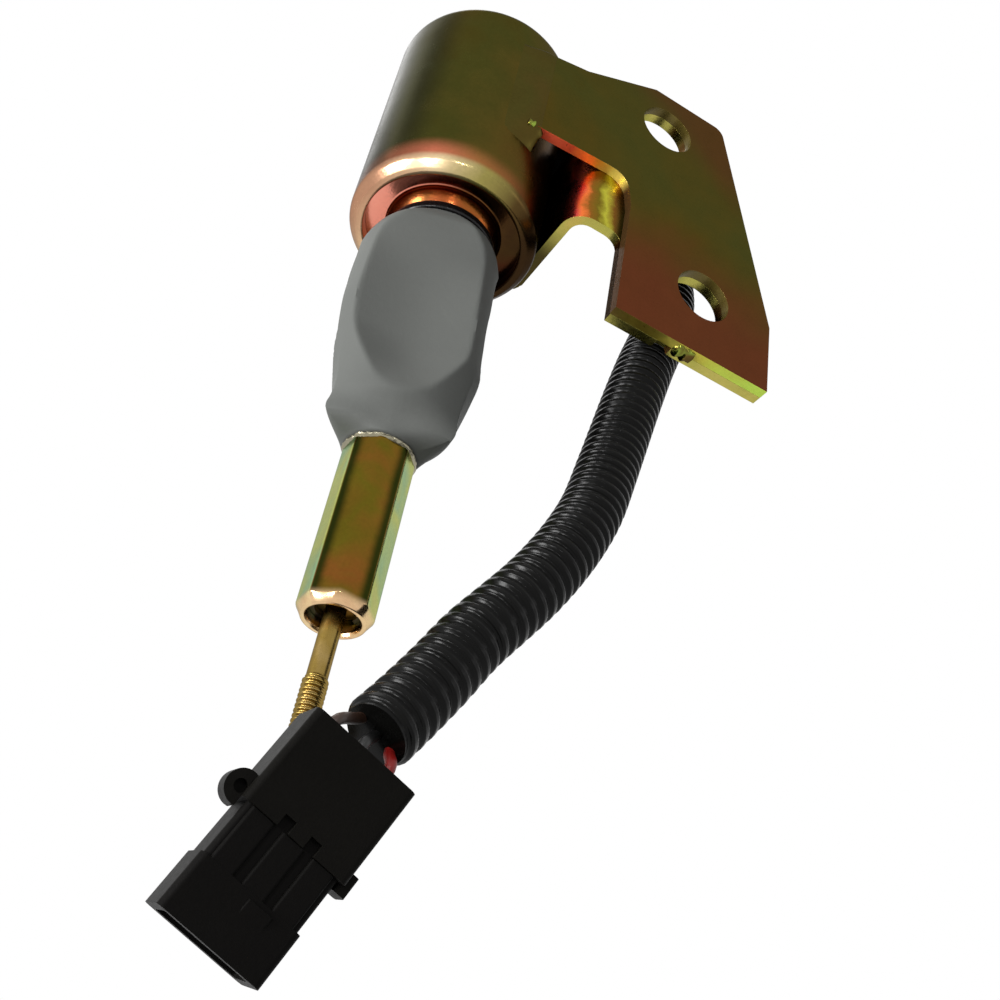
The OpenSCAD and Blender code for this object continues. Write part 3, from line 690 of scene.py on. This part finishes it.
def conduitMesh():
    # outer skin with ribs, plain bore, and an end face that joins them
    path = curved(conduit["route"], 8)
    length = sum((path[i + 1] - path[i]).length for i in range(len(path) - 1))
    skins = []
    for part, radius, rings, ribs in (("outer", conduit["diameter"] / 2, conduit["rings"], conduit["ribs"]),
                                      ("inner", conduit["bore"] / 2, 200, None)):
        skins.append(tube("conduit" + part, path, radius, finish["conduitPlastic"], None, None, (),
                          conduit["sides"], rings, ribs))
    work = bmesh.new()
    for skin in skins:
        work.from_mesh(skin.data)
        bpy.data.objects.remove(skin)
    caps = [f for f in work.faces if len(f.verts) > 4]
    bmesh.ops.delete(work, geom=caps, context="FACES_ONLY")
    loose = [e for e in work.edges if e.is_boundary]
    ends = [place(path[0]), place(path[-1])]
    for end in ends:
        near = [e for e in loose if (e.verts[0].co - end).length < 0.009]
        bmesh.ops.bridge_loops(work, edges=near)
    mesh = bpy.data.meshes.new("conduit")
    work.to_mesh(mesh)
    work.free()
    piece = finishPiece("conduitLoom", mesh, "housing", finish["conduitPlastic"],
                        ("conduit",))
    return piece, path, length


conduitPiece, conduitPath, conduitLength = conduitMesh()
print("conduit is", round(conduitLength, 1), "mm long")

plug = {"at": (5.3, -15.2, -136.3), "turn": (-162.6, 20.1, 4), "pitch": 6.0, "wire": 2.0}


def plugPoint(p):
    a, b, c = [math.radians(angle) for angle in plug["turn"]]
    turn = Matrix.Rotation(c, 3, "Z") @ Matrix.Rotation(b, 3, "Y") @ Matrix.Rotation(a, 3, "X")
    return turn @ Vector(p) + Vector(plug["at"])


def makeWires():
    first = [(17.4, -1.5, 49), (22, -1.9, 49), (28, -2.1, 49.1), (34, -2.2, 49.3), (40.5, -2.2, 49),
             (44.6, -2.2, 47.8), (47.8, -2.3, 46)]
    lead = [Vector(p) for p in first] + curved(conduit["route"], 2)
    last = len(lead) - 1
    sides = carried(lead)
    fan = plugPoint((1, 0, 0)) - Vector(plug["at"])
    turn = math.atan2(fan.dot(heading(lead, last).cross(sides[last])), fan.dot(sides[last]))
    made = []
    for name, s, node, slot in (("redWire", 1, "wire_red", "wireRed"),
                                ("blackWire", 0, "wire_black", "wireBlack"),
                                ("brownWire", -1, "wire_brown", "wireBrown")):
        path = []
        for i, p in enumerate(lead):
            u, w = sides[i], heading(lead, i).cross(sides[i])
            out = 2.3 + 1.3 * max(0, (i - last + 5) / 5)
            path.append(p + s * out * (u * math.cos(turn) + w * math.sin(turn)))
        step = plug["pitch"]
        path.append(plugPoint((s * step * 0.93, 0, -2.6)))
        path += [plugPoint((s * step, 0, depth)) for depth in (-0.8, 1.2, 4.6)]
        path = curved(path, 4)
        made.append(tube(name, path, plug["wire"] / 2, finish[slot], node, "housing", (node,), 14, 260))
    return made


wires = makeWires()
print("wires are in")

# springs

def coilPath(radius, z0, z1, turns, wire, perTurn=28):
    ends = 0.9
    path = []
    for i in range(turns * perTurn + 1):
        t = i / (turns * perTurn)
        middle = z1 - z0 - 2 * wire * ends
        if t < ends / turns:
            z = z0 + wire * turns * t
        elif t > 1 - ends / turns:
            z = z1 - wire * turns * (1 - t)
        else:
            z = z0 + wire * ends + middle * (t - ends / turns) / (1 - 2 * ends / turns)
        angle = 2 * math.pi * turns * t
        path.append(Vector((radius * math.cos(angle), radius * math.sin(angle), z)))
    return path


springs = {"return": {"radius": 3.8, "z0": -6.5, "z1": 39.5, "turns": 13, "wire": 0.45},
           "override": {"radius": 3.85, "z0": -100.7, "z1": -80.1, "turns": 6, "wire": 0.5}}
s = springs["return"]
returnSpring = tube("returnSpring", coilPath(s["radius"], s["z0"], s["z1"], s["turns"], 1.0), s["wire"],
                    finish["springWire"], "spring_wire", None, ("return_spring",), 10)
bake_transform(returnSpring)
s = springs["override"]
overrideSpring = tube("overrideSpring", coilPath(s["radius"], s["z0"], s["z1"], s["turns"], 1.1), s["wire"],
                      finish["springWire"], "spring_wire", None, ("override_spring",), 12)
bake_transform(overrideSpring)
print("springs are wound")

# can: one drawn shell with a rolled lip

can = {"diameter": 44.5, "length": 64, "inside": 61.5, "lip": 37, "wall": 2, "endRadius": 3}


def makeCan():
    r, lip = can["diameter"] / 2, can["lip"] / 2
    inner = r - can["wall"]
    loop = filleted([(lip, 3.5, 0.2), (lip, 0.05, 1.2), (r - 2.2, 0.0, 1.6), (r, 2.3, 2.6),
                     (r, can["length"], can["endRadius"]), (0.02, can["length"]),
                     (0.02, can["inside"]), (inner, can["inside"], 1), (inner, 3.5, 0.2)], 8)
    points, faces = lathe(divided(loop, 8), 180)
    makePiece("canShell", points, faces, "housing", finish["platedShell"], ("shell",), 40)


makeCan()

# front plate: disc, neck and the spigot that the boot grips

frontPlate = {"tube": 15.2, "disc": 40.4, "neck": 27, "spigot": 21}


def makeFrontPlate():
    t, d, n, s = (frontPlate[k] / 2 for k in ("tube", "disc", "neck", "spigot"))
    loop = filleted([(t, 8.5), (d, 8.5), (d, 7.1), (18.1, 7.1), (18.1, 4.9), (d, 4.9), (d, 3.5),
                     (n, 3.5, 0.9), (n, 2.2, 2.0), (n - 1.9, -1.2, 1.2), (s, -1.2, 0.2), (s, -5.2),
                     (s - 1, -5.6), (s - 1, -7.6), (s, -8), (s, -12, 0.5), (4.6, -12), (4.6, -10.5),
                     (t, -10.5)], 5)
    points, faces = lathe(loop, 144)
    makePiece("frontPlate", points, faces, "housing", finish["platedNeck"], ("front_plate",),
              40)
    ring = filleted([(s, -1.2), (13, -1.2, 0.5), (13, -3.4, 0.5), (s, -3.4)], 5)
    points, faces = lathe(ring, 144)
    makePiece("neckRing", points, faces, "housing", finish["ringBlack"], ("boot_ring",), 40)


makeFrontPlate()
print("can and front plate are turned")

# boot: three scooped panels that meet in ridges with ears, over a tapered foot

boot = {"panelAt": -108, "panelEnd": 57.6, "wall": 1.8, "around": 240, "soft": 0.35,
        "ridge": [(3.4, 12.3), (4.5, 13.2), (6, 14.4), (8, 15.4), (12, 16.3), (30, 16.8), (44, 16.4),
                  (50, 15.6), (54, 15), (57, 14.8), (60, 14.95), (62, 15.2), (63.2, 15), (64.2, 13.6),
                  (65, 11.4), (66, 8)],
        "saddle": [(42, 17), (46, 15.6), (50, 14.1), (54, 13), (57.4, 12.2), (60, 10.4), (62, 9.1),
                   (64, 8.4), (66, 8)],
        "scoop": [(3.4, 14), (5, 13.6), (8, 12.9), (12, 12), (15, 11.2), (20, 10.2), (25, 9.5), (33, 9),
                  (41, 8.9), (46, 9.3), (50, 10.2), (54, 11.3), (57.4, 12.2)],
        "crease": [(3.4, 5), (5, 20), (8, 32), (12, 43), (16, 47.5), (24, 49), (34, 50.5), (40, 50), (44, 47),
                   (47.6, 42), (51, 35.5), (54, 28), (56, 20), (57, 12.5), (57.6, 5)],
        "shift": [(3.4, 0), (8, -0.7), (14, -1), (30, -0.8), (38, -0.2), (46, 0.6), (54, 0.7), (60, 0.6),
                  (63, 0.4), (66, 0)],
        "inner": [(3.4, 10.7), (9.5, 10.7), (58.6, 9.5), (60, 6.6), (66, 6.6)]}


def softMin(a, b, k):
    h = max(k - abs(a - b), 0) / k
    return min(a, b) - h * h * k / 4


def bootRadius(angle, z):
    t = abs((angle - boot["panelAt"] + 60) % 120 - 60)
    ridge = smoothTable(boot["ridge"], z)
    saddle = min(ridge, smoothTable(boot["saddle"], z))
    body = saddle + (ridge - saddle) * (t / 60) ** 2.3
    if z > boot["panelEnd"]:
        return body
    crease = smoothTable(boot["crease"], z)
    rim = (saddle + (ridge - saddle) * (crease / 60) ** 2.3) * math.cos(math.radians(crease))
    scoop = min(smoothTable(boot["scoop"], z), rim - 0.02)
    across = math.tan(math.radians(t)) / math.tan(math.radians(crease))
    cut = (scoop + (rim - scoop) * across ** 2) / math.cos(math.radians(t))
    return softMin(body, cut, boot["soft"])


def makeBoot():
    n = boot["around"]
    outer = [3.4 + 0.15 * k for k in range(32)] + [8.4 + 0.8 * k for k in range(60)]
    outer += [56.2 + 0.2 * k for k in range(60)]
    outer = [z for z in outer if z < 65.7] + [65.8, 66.0]
    inner = [66.0, 64.5, 63, 60.1, 59.6, 58.6, 57.5, 56, 53] + list(range(50, 10, -4))
    inner += [12, 9.5, 8.5, 6, 3.4]
    points = []

    def put(r, a, dx, z):
        points.append((r * math.cos(math.radians(a)) + dx, r * math.sin(math.radians(a)), -z))

    for z in outer:
        for i in range(n):
            a = 360 * i / n
            r = bootRadius(a, z)
            if z >= 65.8:
                r -= 0.35 * (z - 65.7) / 0.3
            dx = smoothTable(boot["shift"], z) if z > 4 else 0
            put(r, a, dx, z)
    for z in inner:
        clear = 11 < z < 58
        dx = smoothTable(boot["shift"], z) if clear else 0
        for i in range(n):
            a = 360 * i / n
            r = bootRadius(a, z) - boot["wall"] if clear else smoothTable(boot["inner"], z)
            put(r, a, dx, z)
    faces = gridFaces(len(outer) + len(inner), n, True)
    piece = makePiece("rubberBoot", points, faces, None, finish["bootRubber"], ("boot",), 50)
    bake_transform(piece)


makeBoot()
print("boot is shaped")

# coupling: eight-sided bar with rolled ends, bored from below, and a rough crimped collar

coupling = {"flats": 14, "top": -66.5, "end": -106, "corner": 7.42, "soft": 0.16, "bore": 5.1,
            "boreTop": -76.5, "turn": -108}


def makeCoupling():
    apothem = coupling["flats"] / 2

    def reach(a, r, z):
        if r < 6.6 or z > coupling["top"] + 0.01:
            return r
        t = (a - math.radians(coupling["turn"])) % (math.pi / 4) - math.pi / 8
        return min(softMin(apothem / math.cos(t), coupling["corner"], coupling["soft"]), r)

    top, end, bore = coupling["top"], coupling["end"], coupling["bore"]
    profile = filleted([(0.02, top), (7.3, top, 0.3), (7.6, top - 1.0, 0.4), (7.6, end + 2.2, 2.0),
                        (6.1, end, 1.1), (bore + 0.35, end, 0.4), (bore, end + 0.8, 0.3),
                        (bore, end + 2.4), (bore + 0.5, end + 2.4), (bore + 0.5, end + 3.6),
                        (bore, end + 3.6), (bore, coupling["boreTop"]), (0.02, coupling["boreTop"])], 6)
    points, faces = lathe(divided(profile, 3), 240, reach)
    makePiece("couplingBar", points, faces, "plunger_set", finish["platedCoupling"],
              ("coupling",), 50)
    spigot = filleted([(3.02, -60), (6.5, -60, 0.5), (6.5, top), (3.02, top)], 4)
    points, faces = lathe(spigot, 96)
    makePiece("couplingSpigot", points, faces, "plunger_set", finish["platedCoupling"],
              (), 40)

    def burr(a, r, z):  # uneven crimp
        if r < 7:
            return r
        p = Vector((math.cos(a) * 3.2, math.sin(a) * 3.2, z * 1.6))
        return min(7.95, r + 0.32 * noise.noise(p) + 0.22 * noise.noise(p * 3.1) - 0.08)

    collar = filleted([(6.5, -66.2), (7.7, -66.2, 0.3), (7.75, -66.8, 0.3), (7.2, -67.2, 0.2),
                       (6.5, -67.2)], 5)
    points, faces = lathe(collar, 200, burr)
    makePiece("crimpedCollar", points, faces, "plunger_set", finish["crimpedEdge"], (), 40)


makeCoupling()

# rod: headed, plain shank, rolled thread

rod = {"head": 4.9, "shank": 2.0, "thread": 2.4, "root": 1.95, "pitch": 1.0, "top": -76.8,
       "threadTop": -118.0, "tip": -139.0}


def makeRod():
    top, start, tip = rod["top"], rod["threadTop"], rod["tip"]
    under = top - 2.6
    plain = filleted([(0, top), (rod["head"], top, 0.3), (rod["head"], under, 0.3),
                      (rod["shank"], under, 0.3), (rod["shank"], start + 0.1), (0, start + 0.1)], 5)
    plain = [(0.0, top)] + [p for p in plain if p[0] > 0.001] + [(0.0, start + 0.1)]
    points, faces = lathe(plain, 64)
    makePiece("rodShank", points, faces, "rod_set", finish["platedRod"], ("rod",), 40)
    around = 48
    perPitch = 12
    rows = int((start - tip) / rod["pitch"] * perPitch)
    points = []
    for j in range(rows + 1):
        z = start + 0.15 - (start + 0.15 - tip) * j / rows
        run = min(1, (start + 0.15 - z) / 0.8, (z - tip) / 0.9 + 0.55)  # fades in, chamfers at the tip
        for i in range(around):
            phase = ((z / rod["pitch"]) + i / around) % 1
            crest = 0.5 - 0.5 * math.cos(2 * math.pi * phase)
            crest = max(0, min(1, crest * 1.35 - 0.12))
            r = rod["root"] + (rod["thread"] - rod["root"]) * crest * max(0, run)
            if z - tip < 0.8:
                r = min(r, 1.65 + (z - tip))
            if start - z < 0.3:
                r = max(r, rod["shank"])
            a = 2 * math.pi * i / around
            points.append((r * math.cos(a), r * math.sin(a), z))
    faces = gridFaces(rows + 1, around)
    closeEnds(points, faces, rows + 1, around, [(0, 0, points[0][2]), (0, 0, points[-1][2])])
    makePiece("rodThread", points, faces, "rod_set", finish["platedRod"])


makeRod()
print("coupling and rod are cut")

# pieces that start from the frame's own solids, with rounded edges

def softened(name, node, width, body, material, segments=3, angle=30):
    mesh = nodes[node].data.copy()
    work = bmesh.new()
    work.from_mesh(mesh)
    bmesh.ops.remove_doubles(work, verts=work.verts, dist=2e-6)
    bmesh.ops.dissolve_limit(work, angle_limit=math.radians(1.5), verts=work.verts, edges=work.edges)
    work.to_mesh(mesh)
    work.free()
    guide = bpy.data.objects.new(name + "Plain", mesh)
    bpy.context.scene.collection.objects.link(guide)
    bevel = guide.modifiers.new("bevel", "BEVEL")
    bevel.width = width / 1000
    bevel.segments = segments
    bevel.limit_method = "ANGLE"
    bevel.angle_limit = math.radians(angle)
    bevel.use_clamp_overlap = True
    even = guide.modifiers.new("even", "WEIGHTED_NORMAL")
    even.keep_sharp = True
    mesh.shade_smooth()
    made = bpy.data.meshes.new_from_object(guide.evaluated_get(bpy.context.evaluated_depsgraph_get()))
    bpy.data.objects.remove(guide)
    made.materials.clear()
    made.materials.append(material)
    obj = bpy.data.objects.new(name, made)
    bpy.context.scene.collection.objects.link(obj)
    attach(obj, body)
    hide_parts(node)
    return obj


softened("bracketFront", "bracket_plate", 0.35, "housing", finish["platedBracket"])
softened("bracketStrap", "bracket_strap", 0.45, "housing", finish["platedStrap"])
plugBody = softened("plugBody", "connector_body", 0.22, "housing", finish["connectorPlastic"],
                    2)
plugCover = softened("plugCover", "connector_lock", 0.3, "housing", finish["lockPlastic"], 2)
print("bracket and plug have their edges rounded")

# welds: a strip of beads down the bracket's edge and a blob between its layers

def weldBead(name, path, width, height, seed):
    around = 14
    points = []
    for i, p in enumerate(path):
        t = i / (len(path) - 1)
        swell = math.sin(math.pi * min(1, t * 6, (1 - t) * 6) / 2) ** 0.5 if 0 < t < 1 else 0.15
        ripple = 1 + 0.12 * math.sin(i * 1.35 + seed)
        h = heading(path, i)
        u = Vector((0, 1, 0.03)) - h * h.dot(Vector((0, 1, 0.03)))
        u.normalize()
        w = h.cross(u)
        for k in range(around):
            b = 2 * math.pi * k / around
            q = 1 + 0.15 * noise.noise(Vector((i * 0.5 + seed, math.cos(b), math.sin(b))))
            points.append(p + swell * ripple * q * (u * height * math.cos(b) + w * width * math.sin(b)))
    faces = gridFaces(len(path), around)
    closeEnds(points, faces, len(path), around, [path[0], path[-1]])
    makePiece(name, points, faces, "housing", finish["weldMetal"])


weldBead("layerWeld", [Vector((51.9 + 0.45 * k, -21.9, -18.7 + 0.2 * math.sin(k * 0.3))) for k in range(14)],
         1.3, 2.0, 3)
weldBead("cornerWeld", [Vector((5.4 + 0.25 * k, -23.6, 24.2)) for k in range(10)], 0.9, 1.1, 5)
weldBead("strapWeld", [Vector((22.1, 7.6, 9 + 0.9 * k)) for k in range(31)], 1.2, 1.0, 7)


def seamWeld():
    # the plated fillet that carries the front plate's left end into the can, and runs out below it
    outline = [(0.4, -22.2), (2.6, -22.95), (4.4, -23.62), (6.2, -24.08), (7.6, -24.28), (8.9, -24.33),
               (10.15, -23.2), (10.15, -21.4), (10.15, -19.5), (6.0, -21.2), (3.0, -21.8), (0.4, -22.0)]
    rings = [(19.4, 0.02), (20.4, 0.14), (21.4, 0.38), (22.4, 0.66), (23.3, 0.88), (24.1, 0.98), (24.4, 1.0)]
    rings += [(24.4 + 2.85 * k, 1.0) for k in range(1, 11)] + [(53.3, 0.96), (53.8, 0.7)]
    skin = 22.2  # just within the can's outside
    points = []
    for z, grow in rings:
        for corner in outline:
            p = Vector(corner)
            rest = p.normalized() * skin
            at = p if p.length < skin else rest + (p - rest) * grow
            points.append((at.x, at.y, z))
    n = len(outline)
    faces = gridFaces(len(rings), n)
    for row in (0, len(rings) - 1):
        faces.append(tuple(row * n + k for k in range(n)))
    makePiece("seamFillet", points, faces, "housing", finish["platedSeam"], (), 40)


seamWeld()
print("welds are laid")

# elbow: stub and flange on the can, then a moulded bend that the conduit is pushed into

elbow = {"radius": 8.2, "flange": 9.0,
         "bend": [(22, -1.9, 49), (26, -2.1, 49), (31, -2.2, 49.2), (36, -2.2, 49.3), (40.5, -2.2, 49),
                  (44.6, -2.2, 47.8), (48.2, -2.3, 45.7), (51, -2.5, 42.9), (52.6, -2.7, 40.6)]}


def makeElbow():
    path = curved([(21.0, -1.84, 49)] + elbow["bend"], 8)
    length = [0]
    for i in range(1, len(path)):
        length.append(length[-1] + (path[i] - path[i - 1]).length)
    full = length[-1]
    radii = []
    for d in length:
        r = elbow["radius"]
        if d < 5.2:
            r = elbow["flange"]
        elif d < 6.2:
            r = elbow["flange"] - (elbow["flange"] - elbow["radius"]) * (d - 5.2)
        if full - d < 5:  # thicker mouth with two ribs
            r = elbow["radius"] - (0.0 if (full - d) % 2.4 < 1.4 else 0.35)
        if full - d < 0.5:
            r = elbow["radius"] - 0.4 + (full - d) * 0.6
        radii.append(r)
    around = 48
    points, faces = swept(path, radii, around)
    last = len(path) - 1
    faces = faces[:len(faces) - around]  # the mouth gets a face with a hole for the conduit
    hole, depths = 6.85, (0, 3.5)
    sides, h = carried(path)[last], heading(path, last)
    w = h.cross(sides)
    base = len(points)
    for depth in depths:
        for k in range(around):
            b = 2 * math.pi * k / around
            points.append(path[last] - h * depth + hole * (sides * math.cos(b) + w * math.sin(b)))
    for k in range(around):
        n = (k + 1) % around
        faces.append((last * around + k, last * around + n, base + n, base + k))
        faces.append((base + k, base + n, base + around + n, base + around + k))
    points.append(path[last] - h * depths[1])
    faces += [(len(points) - 1, base + around + k, base + around + (k + 1) % around) for k in range(around)]
    makePiece("leadElbow", points, faces, "housing", finish["elbowRubber"],
              ("outlet_elbow",), 45)


makeElbow()
print("elbow is moulded")

# finishes of the frame's own nodes that stay as they are

keeps = {"front_seal": "sealRubber", "guide_tube": "guideBrass", "rear_pole": "poleSteel",
         "fibre_washer": "fibre", "bobbin": "nylon", "pull_coil": "pullWire", "hold_coil": "holdWire",
         "plunger": "plungerSteel", "spring_washer": "platedWasher", "snap_ring": "snapSteel",
         "wire_seals": "sealRed", "terminal_pins": "tinPins", "front_lock": "lockPlastic"}
for node, name in keeps.items():
    for slot in nodes[node].material_slots:
        slot.material = finish[name]
    if not nodes[node].material_slots:
        nodes[node].data.materials.append(finish[name])
